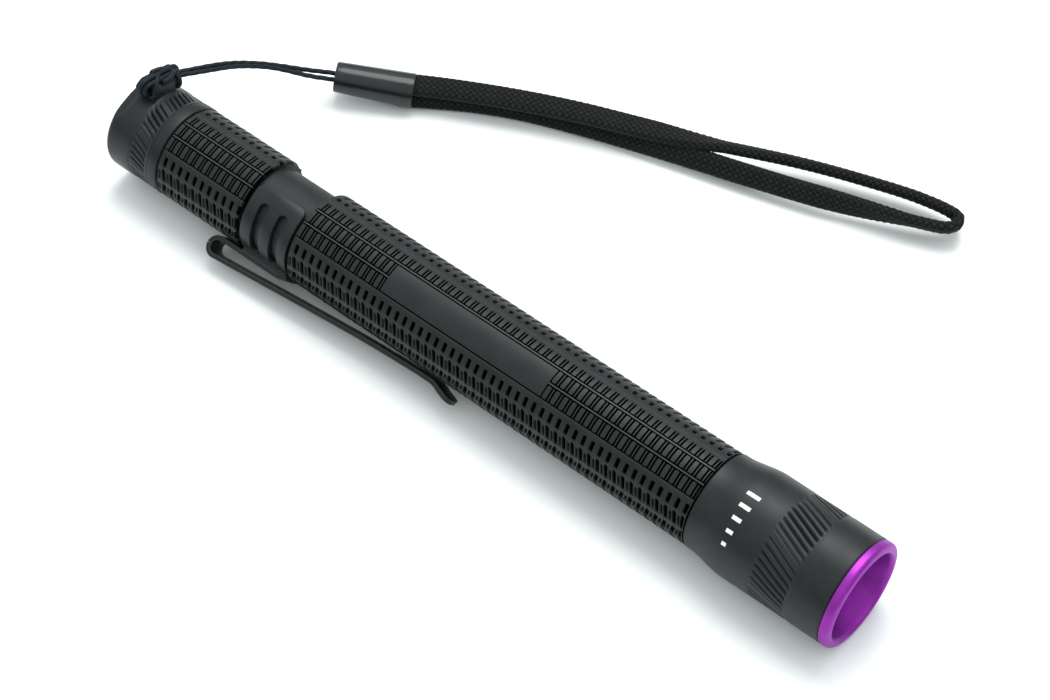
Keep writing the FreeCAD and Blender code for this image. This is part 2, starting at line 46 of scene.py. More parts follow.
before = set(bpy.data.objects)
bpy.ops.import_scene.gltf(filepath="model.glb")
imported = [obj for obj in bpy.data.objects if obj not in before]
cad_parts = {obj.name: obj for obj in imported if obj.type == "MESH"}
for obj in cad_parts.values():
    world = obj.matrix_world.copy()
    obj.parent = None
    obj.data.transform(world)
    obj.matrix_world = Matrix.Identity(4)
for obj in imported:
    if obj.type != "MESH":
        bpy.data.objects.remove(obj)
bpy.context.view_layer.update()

TAIL_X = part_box("tail_cap")[0].x
AXIS = (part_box("barrel")[0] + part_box("barrel")[1]) / 2

# Stations and radii of the barrel, and the angles of what sits round it
GRIP_START, GROOVE_START, GROOVE_END, GRIP_END = 11.5, 29.3, 39.9, 118.8
BARREL_RADIUS, GROOVE_RADIUS = 8.0, 6.9
GRIP_PITCH = 1.6
STRIP_COUNT = 18
FIRST_STRIP = math.radians(94)      # where the panel's first strip starts
PANEL_START, PANEL_END = 57.45, 89.45
CLIP_ANGLE = math.radians(217.3)
LUG_ANGLE = math.radians(75)
LUG_STATION = 3.2


# -------- meshes

def pen_points(stations, radii, angles):
    """Points of the row frame, in metres, from places in the pen's own frame."""
    x = TAIL_X + np.asarray(stations) * MM
    y = AXIS.y + np.asarray(radii) * np.cos(angles) * MM
    z = AXIS.z + np.asarray(radii) * np.sin(angles) * MM
    return np.stack(np.broadcast_arrays(x, y, z), axis=-1)


def new_object(name, mesh):
    """A new object in the scene for a mesh."""
    piece = bpy.data.objects.new(name, mesh)
    bpy.context.scene.collection.objects.link(piece)
    return piece


def mesh_piece(name, points, faces, sharp_angle=40):
    """A closed mesh piece, its faces turned outwards, smooth but for its sharp edges."""
    mesh = bpy.data.meshes.new(name)
    mesh.from_pydata(points.reshape(-1, 3).tolist(), [], faces)
    build = bmesh.new()
    build.from_mesh(mesh)
    bmesh.ops.recalc_face_normals(build, faces=build.faces)
    build.to_mesh(mesh)
    build.free()
    mesh.shade_smooth()
    mesh.set_sharp_from_angle(angle=math.radians(sharp_angle))
    return new_object(name, mesh)


def grid_faces(rows, columns, close_rows=False, close_columns=False):
    """Quads between the neighbours of a grid of points."""
    index = np.arange(rows * columns).reshape(rows, columns)
    if close_rows:
        index = np.vstack([index, index[:1]])
    if close_columns:
        index = np.hstack([index, index[:, :1]])
    corners = index[:-1, :-1], index[1:, :-1], index[1:, 1:], index[:-1, 1:]
    return np.stack(corners, axis=-1).reshape(-1, 4).tolist()


def tube_faces(rows, columns):
    """The faces of a tube with closed ends."""
    ends = [list(range(columns)), list(range((rows - 1) * columns, rows * columns))]
    return grid_faces(rows, columns, close_columns=True) + ends


def circle(columns):
    """Evenly spaced points round a unit circle."""
    turns = np.linspace(0, 2 * math.pi, columns, endpoint=False)
    return np.stack([np.cos(turns), np.sin(turns)], axis=1)


def headings(line):
    """The unit direction of a line at each of its points."""
    heading = np.gradient(line, axis=0)
    return heading / np.linalg.norm(heading, axis=1)[:, None]


def arc(station, radius, size, start, end, steps=6):
    """Points of a rounded edge: a centre, a size, and where it starts and ends in degrees from +X."""
    turns = np.radians(np.linspace(start, end, steps))
    return [(station + size * math.cos(t), radius + size * math.sin(t)) for t in turns]


def lathe(name, outline, columns=144, sharp_angle=40):
    """A closed half outline of stations and radii, swept round the pen's axis."""
    outline = np.array(outline)
    angles = np.linspace(0, 2 * math.pi, columns, endpoint=False)
    points = pen_points(outline[:, :1], outline[:, 1:], angles[None, :])
    faces = grid_faces(len(outline), columns, close_rows=True, close_columns=True)
    return mesh_piece(name, points, faces, sharp_angle)


def set_wear_and_painted_light(piece, wear_and_highlight, milled=None):
    """How rubbed and highlighted, and how deeply milled each point is, from 0 to 1, for the finish to read:
    the first lightens the colour as wear and painted highlight, the second darkens it as painted shade.
    """
    for name, values in (("wear_and_highlight", wear_and_highlight), ("milled", milled)):
        if values is not None:
            attribute = piece.data.attributes.new(name, "FLOAT", "POINT")
            attribute.data.foreach_set("value", np.asarray(values, np.float32).ravel())


def ramp(values, low, high):
    """A straight rise from 0 at low to 1 at high."""
    return np.clip((values - low) / (high - low), 0, 1)


# -------- finishes

def material_nodes(name):
    """A new material, with its nodes, its links and its shader."""
    material = bpy.data.materials.new(name)
    material.use_nodes = True
    tree = material.node_tree
    return material, tree.nodes, tree.links, tree.nodes["Principled BSDF"]


def noise(nodes, links, scale, detail=3.0, stretch=(1, 1, 1)):
    """A noise whose scale is in features per metre of the object."""
    place = nodes.new("ShaderNodeTexCoord")
    mapping = nodes.new("ShaderNodeMapping")
    mapping.inputs["Scale"].default_value = stretch
    texture = nodes.new("ShaderNodeTexNoise")
    texture.inputs["Scale"].default_value = scale
    texture.inputs["Detail"].default_value = detail
    links.new(place.outputs["Object"], mapping.inputs["Vector"])
    links.new(mapping.outputs["Vector"], texture.inputs["Vector"])
    return texture.outputs["Fac"]


def spread_values(nodes, links, factor, low, high):
    """The factor, from its usual 0.3 to 0.7, as a value between low and high."""
    node = nodes.new("ShaderNodeMapRange")
    node.inputs["From Min"].default_value = 0.3
    node.inputs["From Max"].default_value = 0.7
    node.inputs["To Min"].default_value = low
    node.inputs["To Max"].default_value = high
    links.new(factor, node.inputs["Value"])
    return node.outputs["Result"]


def mixed_colour(nodes, links, share, first, second):
    """A mix of two colours. The first may be another node's output."""
    node = nodes.new("ShaderNodeMix")
    node.data_type = "RGBA"
    share_input, first_input, second_input = (node.inputs[number] for number in (0, 6, 7))
    links.new(share, share_input)
    if isinstance(first, tuple):
        first_input.default_value = (*first, 1)
    else:
        links.new(first, first_input)
    second_input.default_value = (*second, 1)
    return node.outputs[2]


def bumped(nodes, links, shader, factor, height):
    """A bump whose height is in metres."""
    bump = nodes.new("ShaderNodeBump")
    bump.inputs["Strength"].default_value = 1.0
    bump.inputs["Distance"].default_value = height
    links.new(factor, bump.inputs["Height"])
    links.new(bump.outputs["Normal"], shader.inputs["Normal"])


def worn_and_highlighted(nodes, links, colour, bright):
    """The colour, with its rubbed and highlit places in a brighter one: partly wear, partly painted
    highlight.
    """
    wear_and_highlight = nodes.new("ShaderNodeAttribute")
    wear_and_highlight.attribute_name = "wear_and_highlight"
    return mixed_colour(nodes, links, wear_and_highlight.outputs["Fac"], colour, bright)


def painted_groove_shade(nodes, links, shader, colour):
    """The colour, nearly black in the bottoms of milled grooves: painted shade in the recesses. They are
    made metallic there, so that with the near-black colour they lose their shine as well."""
    milled = nodes.new("ShaderNodeAttribute")
    milled.attribute_name = "milled"
    links.new(milled.outputs["Fac"], shader.inputs["Metallic"])
    return mixed_colour(nodes, links, milled.outputs["Fac"], colour, (0.0015, 0.0017, 0.0018))


def plain_finish(name, dark, light, rough, grain, height, metallic=0.0, rubbed_and_highlight=None, coat=0.0, sheen=0.0,
                 specular=0.5):
    """A finish with a little colour variation, uneven gloss, and a fine grain of so many features a metre
    and so many metres high."""
    material, nodes, links, shader = material_nodes(name)
    patches = noise(nodes, links, 260, 4)
    colour = mixed_colour(nodes, links, spread_values(nodes, links, patches, 0, 1), dark, light)
    shader.inputs["Specular IOR Level"].default_value = specular
    # A rubbed colour lightens edges as wear and painted highlight, and the milled grooves get painted shade.
    if rubbed_and_highlight:
        colour = worn_and_highlighted(nodes, links, colour, rubbed_and_highlight)
        colour = painted_groove_shade(nodes, links, shader, colour)
    links.new(colour, shader.inputs["Base Color"])
    links.new(spread_values(nodes, links, patches, *rough), shader.inputs["Roughness"])
    bumped(nodes, links, shader, noise(nodes, links, grain, 2), height)
    shader.inputs["Metallic"].default_value = metallic
    shader.inputs["Coat Weight"].default_value = coat
    shader.inputs["Sheen Weight"].default_value = sheen
    return material


def turned_finish(name, dark, light, rough):
    """Anodised or bare metal off the lathe: faint rings round the axis."""
    material, nodes, links, shader = material_nodes(name)
    patches = noise(nodes, links, 400, 3)
    colour = mixed_colour(nodes, links, spread_values(nodes, links, patches, 0, 1), dark, light)
    links.new(colour, shader.inputs["Base Color"])
    rings = noise(nodes, links, 9000, 1, stretch=(1, 0.01, 0.01))
    links.new(spread_values(nodes, links, rings, *rough), shader.inputs["Roughness"])
    bumped(nodes, links, shader, rings, 3e-6)
    shader.inputs["Metallic"].default_value = 1.0
    return material


# The rubbed colours below lighten edges, ridges and yarn crowns: partly wear, partly painted highlight.
ANODISED = plain_finish(
    "black_anodised", (0.0084, 0.0106, 0.0114), (0.0122, 0.0152, 0.0162), (0.38, 0.48), 9000, 8e-6,
    rubbed_and_highlight=(0.045, 0.042, 0.038), specular=0.26)
PURPLE = turned_finish("purple_anodised", (0.26, 0.030, 0.33), (0.32, 0.040, 0.40), (0.42, 0.52))
CLIP_STEEL = plain_finish(
    "black_spring_steel", (0.0090, 0.0108, 0.0116), (0.0135, 0.0158, 0.0168), (0.34, 0.44), 7000, 4e-6,
    rubbed_and_highlight=(0.085, 0.085, 0.08), specular=0.26)
BUTTON_RUBBER = plain_finish(
    "black_rubber", (0.012, 0.012, 0.012), (0.02, 0.02, 0.02), (0.6, 0.75), 4000, 2e-5)
NYLON = plain_finish("black_nylon", (0.015, 0.015, 0.016), (0.024, 0.024, 0.025), (0.45, 0.6), 5000, 1e-5)
BRIGHT_WIRE = plain_finish(
    "bright_spring_wire", (0.5, 0.5, 0.48), (0.66, 0.66, 0.63), (0.2, 0.35), 6000, 3e-6, metallic=1.0)
BRASS = turned_finish("brass", (0.62, 0.44, 0.18), (0.75, 0.56, 0.27), (0.25, 0.4))
BOARD_GREEN = plain_finish("board_green", (0.012, 0.09, 0.035), (0.02, 0.14, 0.055), (0.25, 0.4), 3000, 1e-5)
BOARD_WHITE = plain_finish("board_white", (0.66, 0.66, 0.64), (0.78, 0.78, 0.76), (0.3, 0.45), 3000, 5e-6)
DIODE = plain_finish("diode_resin", (0.5, 0.46, 0.6), (0.62, 0.58, 0.7), (0.05, 0.12), 2000, 2e-6, coat=1.0)
CELL_LABEL = plain_finish(
    "cell_label", (0.16, 0.17, 0.19), (0.22, 0.23, 0.25), (0.25, 0.4), 5000, 3e-6, metallic=0.6)
WIRE_RED = plain_finish("wire_red", (0.35, 0.012, 0.01), (0.5, 0.02, 0.016), (0.45, 0.6), 6000, 5e-6)
BRAID = plain_finish(
    "black_braid", (0.0036, 0.0040, 0.0042), (0.0080, 0.0088, 0.0092), (0.65, 0.8), 16000, 3e-5,
    rubbed_and_highlight=(0.020, 0.021, 0.022), sheen=0.04, specular=0.18)
CORD_FINISH = plain_finish(
    "black_cord", (0.003, 0.006, 0.009), (0.006, 0.011, 0.016), (0.5, 0.62), 9000, 1e-5,
    rubbed_and_highlight=(0.012, 0.018, 0.024), specular=0.2)
SLEEVE_PLASTIC = plain_finish(
    "sleeve_plastic", (0.0085, 0.0105, 0.0115), (0.0130, 0.0155, 0.0165), (0.2, 0.3), 900, 6e-6,
    coat=0.1, specular=0.3)
PRINT_INK = plain_finish("print_ink", (0.72, 0.75, 0.76), (0.86, 0.88, 0.88), (0.4, 0.55), 12000, 6e-6)


def filter_glass():
    """Dark violet glass that lets half of the light through."""
    material, nodes, links, shader = material_nodes("filter_glass")
    links.new(mixed_colour(nodes, links, noise(nodes, links, 300), (0.03, 0.008, 0.06), (0.06, 0.015, 0.11)),
              shader.inputs["Base Color"])
    shader.inputs["Roughness"].default_value = 0.04
    shader.inputs["Transmission Weight"].default_value = 0.5
    shader.inputs["Coat Weight"].default_value = 1.0
    return material


# The finishes of the CAD nodes that are shown as they are
NODE_FINISHES = {
    "battery_rear": CELL_LABEL,
    "battery_front": CELL_LABEL,
    "tail_o_ring": BUTTON_RUBBER,
    "head_o_ring": BUTTON_RUBBER,
    "lens_gasket": BUTTON_RUBBER,
    "tail_spring": BRIGHT_WIRE,
    "front_spring": BRIGHT_WIRE,
    "switch_plunger": NYLON,
    "switch_housing": NYLON,
    "switch_ring": BRASS,
    "led_pill": BRASS,
    "switch_board": BOARD_GREEN,
    "driver_board": BOARD_GREEN,
    "led_board": BOARD_WHITE,
    "uv_led": DIODE,
    "filter_lens": filter_glass(),
    "led_wire_positive": WIRE_RED,
    "led_wire_negative": BUTTON_RUBBER,
}


def finished(piece, material, body, node=None):
    """Give a piece its finish and its body, and hide the CAD node that it stands for."""
    piece.data.materials.append(material)
    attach(piece, body)
    if node:
        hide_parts(node)
    return piece


# -------- barrel

EDGE = 0.07        # width of the wall of a milled groove
RING = 0.34        # width of the groove round each brick
RIDGE = 0.11       # half the width of the ridge between two strips
CHANNEL = 0.26     # width of the groove along a ridge
DEPTH = 0.55
BRICK_HALF = 0.36  # half of a brick's width along the pen
BRICK_CENTRE = 0.45
STRIP_WIDTH = 2 * math.pi * BARREL_RADIUS / STRIP_COUNT
TILT = 0.25        # how far a slanted brick leans along the pen, per millimetre round it


def brick_stations(start, end):
    """Stations over a grip: each pitch has a wide brick and a narrow rib, with a groove on both sides."""
    brick = [BRICK_CENTRE - BRICK_HALF, BRICK_CENTRE - BRICK_HALF + EDGE, BRICK_CENTRE]
    brick += [BRICK_CENTRE + BRICK_HALF - EDGE, BRICK_CENTRE + BRICK_HALF]
    groove = [EDGE, RING - EDGE, RING]
    rib_start, rib_end = brick[-1] + RING, GRIP_PITCH + brick[0] - RING
    steps = brick + [brick[-1] + g for g in groove] + [(rib_start + rib_end) / 2, rib_end]
    steps += [rib_end + g for g in groove[:-1]]
    periods = math.ceil((end - start) / GRIP_PITCH)
    stations = [start + 0.1 + period * GRIP_PITCH + step for period in range(periods) for step in steps]
    return [s for s in stations if start + 0.15 < s < end - 0.15]


def strip_kind(strip):
    """Which milling a strip has, counted from the panel's first strip."""
    kinds = {2: "arch", 5: "wave", 6: "wave", 7: "arch_back", 11: "arch", 14: "wave", 15: "wave", 16: "oval",
             17: "comb"}
    return kinds.get(strip, "slanted" if strip in (3, 4, 12, 13) else "brick")


def strip_columns(kind):
    """Places across a strip, in millimetres from its ridge, that follow the edges milled into it."""
    width = STRIP_WIDTH
    near = [RIDGE, RIDGE + EDGE, RIDGE + CHANNEL - EDGE, RIDGE + CHANNEL]
    far = [width - place for place in reversed(near)]
    arch = [0, 0.4, 0.72, 0.82, 0.92, 1.05, 1.2, 1.45, 1.75, 2.05, 2.25, 2.4, 2.5, 2.62]
    columns = {
        "brick": [0, *near, 0.5, 0.95, 1.4, 1.85, 2.3, *far],
        "comb": [0, 0.12, 0.4, 0.68, 0.75, 0.82, 1.2, 1.6, 2.0, 2.3, *far],
        "oval": [0, 0.4, 0.68, 0.78, 0.88, 1.0, 1.12, 1.25, 1.38, 1.5, 1.62, 1.72, 1.82, 2.3],
        "arch": arch,
        "arch_back": [0] + [width - place for place in arch[:0:-1]],
    }
    return columns.get(kind, [width * step / 14 for step in range(14)])


def rounded_box_distance(along, across, half_along, half_across, corner):
    """Distance outside a rounded rectangle, negative inside it."""
    dx = np.abs(along) - (half_along - corner)
    dy = np.abs(across) - (half_across - corner)
    outside = np.hypot(np.maximum(dx, 0), np.maximum(dy, 0))
    return outside + np.minimum(np.maximum(dx, dy), 0) - corner


def groove_at(distance, width=RING):
    """Share of the full depth: 0 at the groove's two edges and 1 on its floor."""
    return ramp(distance, 0, EDGE) * (1 - ramp(distance, width - EDGE, width))


SLOT_SHAPES = {
    # kind: centre across the strip, half length across it, half width along the pen
    "arch": (1.72, 0.92, 0.35),
    "arch_back": (STRIP_WIDTH - 1.72, 0.92, 0.35),
    "slanted": (STRIP_WIDTH / 2, 1.16, 0.33),
    "wave": (STRIP_WIDTH / 2, 2.0, 0.36),
    "oval": (1.25, 0.52, 0.38),
}


def strip_relief(kind, along, across):
    """How deep each point is milled, and how much wear and painted highlight it gets on edges and ridges.
    Along is from the middle of a brick.
    """
    middle, margin = STRIP_WIDTH / 2, RIDGE + CHANNEL
    side = np.minimum(across, STRIP_WIDTH - across)
    if kind in SLOT_SHAPES:
        centre, half, half_along = SLOT_SHAPES[kind]
        from_slot = GRIP_PITCH / 2 - np.abs(along)
        distance = rounded_box_distance(from_slot, across - centre, half_along, half, half_along - 0.02)
        depth = ramp(-distance, 0, 0.12)
        if kind == "slanted":
            groove = rounded_box_distance(along, across - centre, 0.1, half - 0.35, 0.1)
            depth = np.maximum(depth, 0.7 * ramp(-groove, -0.04, 0.08))
        wear_and_highlight = 0.3 * (1 - ramp(np.abs(distance), 0.0, 0.12)) + 0.12 * (side < 0.3)
    elif kind == "comb":
        from_end = STRIP_WIDTH - across
        bars = ramp(across, 0.72, 0.80) * ramp(from_end, margin, margin + EDGE)
        depth = groove_at(np.abs(along) - BRICK_HALF) * bars
        depth = np.maximum(depth, groove_at(from_end - RIDGE, CHANNEL))
        wear_and_highlight = 0.3 * (across < 0.13) + 0.35 * (1 - ramp(np.abs(np.abs(along) - BRICK_HALF), 0, 0.05)) * bars
    else:
        distance = rounded_box_distance(along, across - middle, BRICK_HALF, middle - margin, 0.06)
        depth = groove_at(distance) * ramp(side, RIDGE, RIDGE + EDGE)
        depth = np.maximum(depth, groove_at(side - RIDGE, CHANNEL))
        wear_and_highlight = np.maximum(0.4 * (1 - ramp(np.abs(distance), 0.0, 0.05)), 0.8 * (side < 0.12))
    return depth, wear_and_highlight * (depth < 0.2)


def lean(kind, strip, across):
    """How far a slanted strip's bricks are carried along the pen: out in one strip, back in the next."""
    if kind not in ("slanted", "wave"):
        return np.zeros_like(across)
    outward = strip in (3, 5, 12, 14)
    return TILT * (across if outward else STRIP_WIDTH - across)


def grip(start, end):
    """Places, wear and painted highlight, and milled depth over one grip, as a grid of stations by columns.
    The milled depth also paints shade in the grooves.
    """
    stations = np.array([start, start + 0.12] + brick_stations(start, end) + [end - 0.12, end])[:, None]
    fade = ramp(stations, start, start + 1.6) * (1 - ramp(stations, end - 1.6, end))
    blocks = []
    for strip in range(STRIP_COUNT):
        kind = strip_kind(strip)
        across = np.array(strip_columns(kind))[None, :]
        place = np.broadcast_to(stations, (len(stations), across.shape[1]))
        across = np.broadcast_to(across, place.shape)
        along = (place - start - 0.1) % GRIP_PITCH - BRICK_CENTRE
        along = np.where(along > GRIP_PITCH / 2, along - GRIP_PITCH, along)
        depth, wear_and_highlight = strip_relief(kind, along, across)
        if strip in (0, 1):
            panel = (place > PANEL_START) & (place < PANEL_END)
            outer_side = across if strip == 0 else STRIP_WIDTH - across
            depth = np.where(panel, groove_at(outer_side - RIDGE, CHANNEL), depth)
            wear_and_highlight = np.where(panel, 0.6 * (outer_side < 0.12), wear_and_highlight)
        margin = 1 - ramp(np.minimum(place - start, end - place), 0.14, 0.2)
        depth = np.maximum(depth, 0.8 * margin)
        angles = FIRST_STRIP + (strip + across / STRIP_WIDTH) * 2 * math.pi / STRIP_COUNT
        leaned = place + fade * lean(kind, strip, across)
        blocks.append((leaned, BARREL_RADIUS - DEPTH * depth, angles, wear_and_highlight * (1 - margin), depth))
    return [np.hstack([block[part] for block in blocks]) for part in range(5)]


def ring_rows(outline, angles):
    """A few plain rings of the barrel, on the grip's own columns."""
    outline = np.array(outline)
    shape = (len(outline), len(angles))
    return [np.broadcast_to(outline[:, :1], shape), np.broadcast_to(outline[:, 1:], shape),
            np.broadcast_to(angles[None, :], shape), np.zeros(shape), np.zeros(shape)]


def build_barrel():
    """The barrel in one piece: a spigot for the tail cap, grip, clip groove, grip, a spigot for the head."""
    rear, front = grip(GRIP_START, GROOVE_START), grip(GROOVE_END, GRIP_END)
    angles = rear[2][0]
    bore, spigot, shoulder, chamfer = 5.5, 6.6, 7.3, 0.2
    rear_end, front_end = 8.2, 124.4
    rear_spigot = [(rear_end, bore), (rear_end, spigot - chamfer), (rear_end + chamfer, spigot)]
    rear_spigot += [(GRIP_START, spigot), (GRIP_START, shoulder)]
    groove = [(GROOVE_START, 7.0), (GROOVE_START + 0.1, GROOVE_RADIUS)]
    groove += [(s, GROOVE_RADIUS) for s in np.linspace(GROOVE_START + 0.5, GROOVE_END - 0.5, 9)]
    groove += [(GROOVE_END - 0.1, GROOVE_RADIUS), (GROOVE_END, 7.0)]
    front_spigot = [(GRIP_END, shoulder), (GRIP_END, spigot), (front_end - chamfer, spigot)]
    front_spigot += [(front_end, spigot - chamfer), (front_end, bore)]
    plain = [ring_rows(outline, angles) for outline in (rear_spigot, groove, front_spigot)]
    parts = [plain[0], rear, plain[1], front, plain[2]]
    stations, radii, turns, wear_and_highlight, milled = [np.vstack([part[k] for part in parts]) for k in range(5)]
    faces = grid_faces(*stations.shape, close_rows=True, close_columns=True)
    piece = mesh_piece("barrel_tube", pen_points(stations, radii, turns), faces, 30)
    # The milled depth darkens the grooves as painted shade, and the wear lightens brick edges and ridges,
    # partly as painted highlight.
    set_wear_and_painted_light(piece, wear_and_highlight, milled)
    finished(piece, ANODISED, "barrel", "barrel")


# -------- knurled caps

KNURL_SLOPE = 0.41     # how far a knurl runs round the cap, per millimetre along it
KNURL_COLUMNS = 6      # columns of mesh per knurl


def knurl_relief(stations, columns, band, group):
    """Milled depth, from 0 to 1, of slanted knurls set in groups, with a plain gap after each group."""
    start, end = band
    step = columns % KNURL_COLUMNS
    across = np.minimum(step, KNURL_COLUMNS - step) / (KNURL_COLUMNS / 2)
    number = (columns // KNURL_COLUMNS) % (group + 1)
    centred = 1 - ((number - (group - 1) / 2) / (group / 2 + 0.3)) ** 2
    ends = ramp(stations, start + 0.25, start + 0.7) * (1 - ramp(stations, end - 0.7, end - 0.25))
    milled = ramp(1 - across, 0.4, 0.9) * np.where(number < group, 0.5 + 0.5 * np.clip(centred, 0, 1), 0)
    return milled * ends


def knurled(name, outline, band, knurls, group, depth, recess, reshape=None):
    """A turned cap with a band of slanted knurls. The outline is closed; the band is on its outside."""
    start, end = band
    outline = np.array(outline)
    columns = np.arange(knurls * KNURL_COLUMNS)[None, :]
    stations = np.broadcast_to(outline[:, :1], (len(outline), columns.shape[1]))
    radii = np.broadcast_to(outline[:, 1:], stations.shape)
    outside = radii > outline[:, 1].max() - 1.2
    milled = knurl_relief(stations, columns, band, group) * outside
    sunk = recess * ramp(stations, start - 0.05, start + 0.12) * (1 - ramp(stations, end - 0.12, end + 0.05))
    turn = KNURL_SLOPE * np.clip(stations - start, 0, end - start) / outline[:, 1].max()
    angles = columns * 2 * math.pi / columns.shape[1] + turn
    radii = np.where(outside, radii - sunk - depth * milled, radii)
    if reshape:
        radii = np.where(outside, reshape(stations, radii, angles), radii)
    inside_band = ramp(stations, start, start + 0.3) * (1 - ramp(stations, end - 0.3, end))
    # The lands of the knurled band are a little lighter: painted highlight, with some wear.
    wear_and_highlight = 0.12 * outside * inside_band * (milled < 0.1)
    faces = grid_faces(*stations.shape, close_rows=True, close_columns=True)
    piece = mesh_piece(name, pen_points(stations, radii, angles), faces, 42)
    # The knurls' grooves are darkened by their depth: painted shade.
    set_wear_and_painted_light(piece, wear_and_highlight, 0.7 * milled)
    return piece


def band_stations(start, end, radius):
    """The outline's points across a knurled band."""
    steps = [0, 0.12, 0.25, 0.45, 0.7]
    middle = np.linspace(start + 0.7, end - 0.7, 7)[1:-1]
    return [(s, radius) for s in [start + t for t in steps] + list(middle) + [end - t for t in steps[::-1]]]


def scalloped(stations, radii, angles):
    """The thumb scallop in the tail cap's rim: a round cutter laid across the pen."""
    cutter, height, angle = 3.4, 10.6, math.radians(109)
    facing = np.cos(angles - angle)
    floor = height - np.sqrt(np.maximum(cutter ** 2 - stations ** 2, 0))
    cut = (facing > 0.8) & (stations < cutter) & (radii * facing > floor)
    return np.where(cut, floor / np.maximum(facing, 0.8), radii)


def build_tail_cap():
    """The tail cap, with the button's well at its back and the threaded bore at its front, and its lug."""
    radius, rim = 8.1, 1.0
    band = 5.3, 9.25
    outline = [(2.6, 4.3), (2.6, 5.0), (0.25, 5.0), (0.0, 5.25), (0.0, 6.2)]
    outline += arc(rim, radius - rim, rim, 180, 90, 8)
    outline += [(s, radius) for s in (1.3, 1.6, 1.9, 2.2, 2.5, 2.9, 3.5, 4.4, 5.15)]
    outline += band_stations(*band, radius)
    outline += [(9.4, radius - 0.12), (9.5, radius - 0.02), (9.9, radius), (10.9, radius)]
    outline += [(11.25, radius - 0.08), (11.4, radius - 0.3), (11.4, 6.8), (4.0, 6.8), (4.0, 4.3)]
    cap = knurled("tail_cap_shell", outline, band, 48, 5, 0.3, 0.08, scalloped)
    finished(cap, ANODISED, "tail_cap", "tail_cap")
    finished(lug(), ANODISED, "tail_cap", "tail_cap")


def head_flare():
    """The head's outside from its neck to its full width: an S curve."""
    neck, full, start, end = 8.1, 8.95, 119.5, 125.9
    shares = np.linspace(0, 1, 13)
    return [(start + (end - start) * t, neck + (full - neck) * t * t * (3 - 2 * t)) for t in shares]


def build_head():
    """The head's shell: flare, smooth neck, knurled band and smooth front."""
    radius = 8.95
    band = 131.0, 138.0
    outline = [(118.9, 6.8), (118.9, 7.95), (119.05, 8.1)]
    outline += head_flare() + [(128.0, radius), (130.8, radius)]
    outline += band_stations(*band, radius)
    outline += [(138.3, radius), (141.0, radius), (143.6, radius), (143.72, radius - 0.12)]
    outline += [(143.8, radius - 0.12), (143.8, 7.8), (129.0, 7.8), (129.0, 6.8)]
    head = knurled("head_casing", outline, band, 48, 7, 0.28, 0.04)
    finished(head, ANODISED, "head", "head_shell")


def build_bezel():
    """The purple ring: a rounded lip, a small chamfer, and the deep cone down to the lens."""
    outline = [(143.9, 7.75), (143.9, 8.84), (143.97, 8.93), (144.1, 8.95), (144.5, 8.95)]
    outline += arc(144.72, 8.23, 0.72, 90, 12, 9)
    outline += [(145.48, 8.2), (145.5, 8.05), (145.5, 7.72), (145.44, 7.62), (145.05, 7.35)]
    mouth, mouth_radius, lens, lens_radius = 144.9, 7.3, 132.2, 3.9
    slope = (mouth_radius - lens_radius) / (mouth - lens)
    outline += [(mouth, mouth_radius)]
    outline += [(s, lens_radius + slope * (s - lens)) for s in np.linspace(144.6, lens, 9)]
    outline += [(lens, 4.45), (130.6, 4.45), (130.6, 5.2), (lens, 5.2), (138.0, 7.75)]
    bezel = lathe("bezel", outline, 192, 30)
    finished(bezel, PURPLE, "head", "bezel_ring")


def build_print():
    """Plain white bars on the head, each shorter than the one before it."""
    surface, height, sunk, raised = 8.95, 0.62, 0.15, 0.02
    middle, outside = 125.9, np.array(head_flare() + [(140.0, surface)])
    for number in range(5):
        angle = math.radians(97 + 13.6 * number)
        length = 2.3 - 0.38 * number
        stations = np.linspace(middle - length / 2, middle + length / 2, 6)
        angles = angle + np.linspace(-0.5, 0.5, 5) * height / surface
        base = np.interp(stations, *outside.T)[:, None]
        layers = [pen_points(stations[:, None], base + lift, angles[None, :]) for lift in (-sunk, raised)]
        count = len(stations) * len(angles)
        faces = grid_faces(len(stations), len(angles))
        faces += [[count + i for i in face] for face in faces]
        index = np.arange(count).reshape(len(stations), len(angles))
        rim = [*index[0, :-1], *index[:-1, -1], *index[-1, :0:-1], *index[:0:-1, 0]]
        faces += [[int(a), int(b), count + int(b), count + int(a)] for a, b in zip(rim, rim[1:] + rim[:1])]
        bar = mesh_piece(f"print_bar_{number + 1}", np.stack(layers), faces)
        finished(bar, PRINT_INK, "head")


def build_button():
    """The rubber push button: a low dome with a raised ring."""
    outline = [(1.25, 0.001), (1.28, 0.9), (1.4, 1.6), (1.25, 1.9), (1.3, 2.2), (1.55, 2.45)]
    outline += arc(2.75, 3.1, 1.0, 160, 90, 6)
    outline += [(4.1, 4.1), (4.1, 4.8), (4.9, 4.8), (4.9, 0.001)]
    finished(lathe("button_cap", outline, 96), BUTTON_RUBBER, "button", "switch_button")


# -------- flat plates with holes

def plate(name, outlines, thickness, rounding):
    """A flat plate with holes, in millimetres, as a mesh: the first outline is its edge."""
    curve = bpy.data.curves.new(name, "CURVE")
    curve.dimensions = "2D"
    curve.fill_mode = "BOTH"
    curve.extrude = thickness / 2 - rounding
    curve.bevel_depth = rounding
    curve.bevel_resolution = 1
    curve.offset = -rounding
    for outline in outlines:
        spline = curve.splines.new("POLY")
        spline.points.add(len(outline) - 1)
        for point, (x, y) in zip(spline.points, outline):
            point.co = (x, y, 0, 1)
        spline.use_cyclic_u = True
    holder = bpy.data.objects.new(name, curve)
    mesh = bpy.data.meshes.new_from_object(holder)
    bpy.data.curves.remove(curve)
    build = bmesh.new()
    build.from_mesh(mesh)
    bmesh.ops.remove_doubles(build, verts=build.verts, dist=0.001)
    return mesh, build


